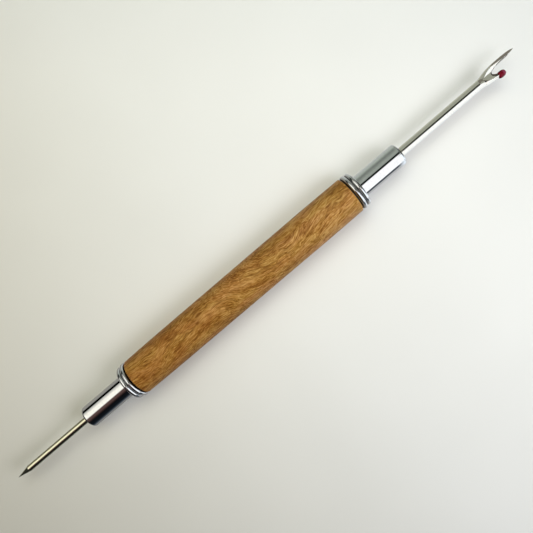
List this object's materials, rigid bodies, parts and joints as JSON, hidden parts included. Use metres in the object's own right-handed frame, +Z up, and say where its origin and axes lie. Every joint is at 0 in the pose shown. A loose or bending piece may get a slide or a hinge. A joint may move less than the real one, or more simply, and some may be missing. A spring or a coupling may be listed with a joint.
{
  "type": "double-ended seam ripper and stiletto",
  "caption": "Wooden-handled sewing tool with a forked seam ripper at one end and a stiletto at the other; both plugs turn, pull out and store point-first in the handle.",
  "frame": {"origin": "on the tool's axis at the middle of the barrel", "axes": "+X along the axis to the ripper's tip, +Y to the side of its long prong, +Z up as it lies with the fork flat"},
  "size_m": [0.1978, 0.012, 0.012],
  "materials": {
    "wood": "satin, figured golden-brown hardwood",
    "brass": "drawn",
    "chrome": "polished",
    "rubber": "matte",
    "blade_steel": "polished",
    "needle_steel": "polished",
    "red_ball": "gloss"
  },
  "bodies": {
    "handle": {"wood_barrel": "wood", "brass_tube": "brass", "ripper_coupler": "chrome", "stiletto_coupler": "chrome"},
    "ripper_seal": {"ripper_o_ring": "rubber"},
    "ripper_tool": {"ripper_holder": "chrome", "ripper_blade": "blade_steel", "safety_ball": "red_ball"},
    "stiletto_seal": {"stiletto_o_ring": "rubber"},
    "stiletto_tool": {"stiletto_holder": "chrome", "stiletto_needle": "needle_steel"}
  },
  "joints": [
    {"name": "ripper_turn", "type": "hinge", "parent": "handle", "child": "ripper_seal", "pos_m": [0.04367, 0, 0], "axis": [1, 0, 0], "continuous": true},
    {"name": "ripper_pull", "type": "slide", "parent": "ripper_seal", "child": "ripper_tool", "axis": [1, 0, 0], "range_m": [0, 0.025]},
    {"name": "stiletto_turn", "type": "hinge", "parent": "handle", "child": "stiletto_seal", "pos_m": [-0.04367, 0, 0], "axis": [-1, 0, 0], "continuous": true},
    {"name": "stiletto_pull", "type": "slide", "parent": "stiletto_seal", "child": "stiletto_tool", "axis": [-1, 0, 0], "range_m": [0, 0.025]}
  ]
}
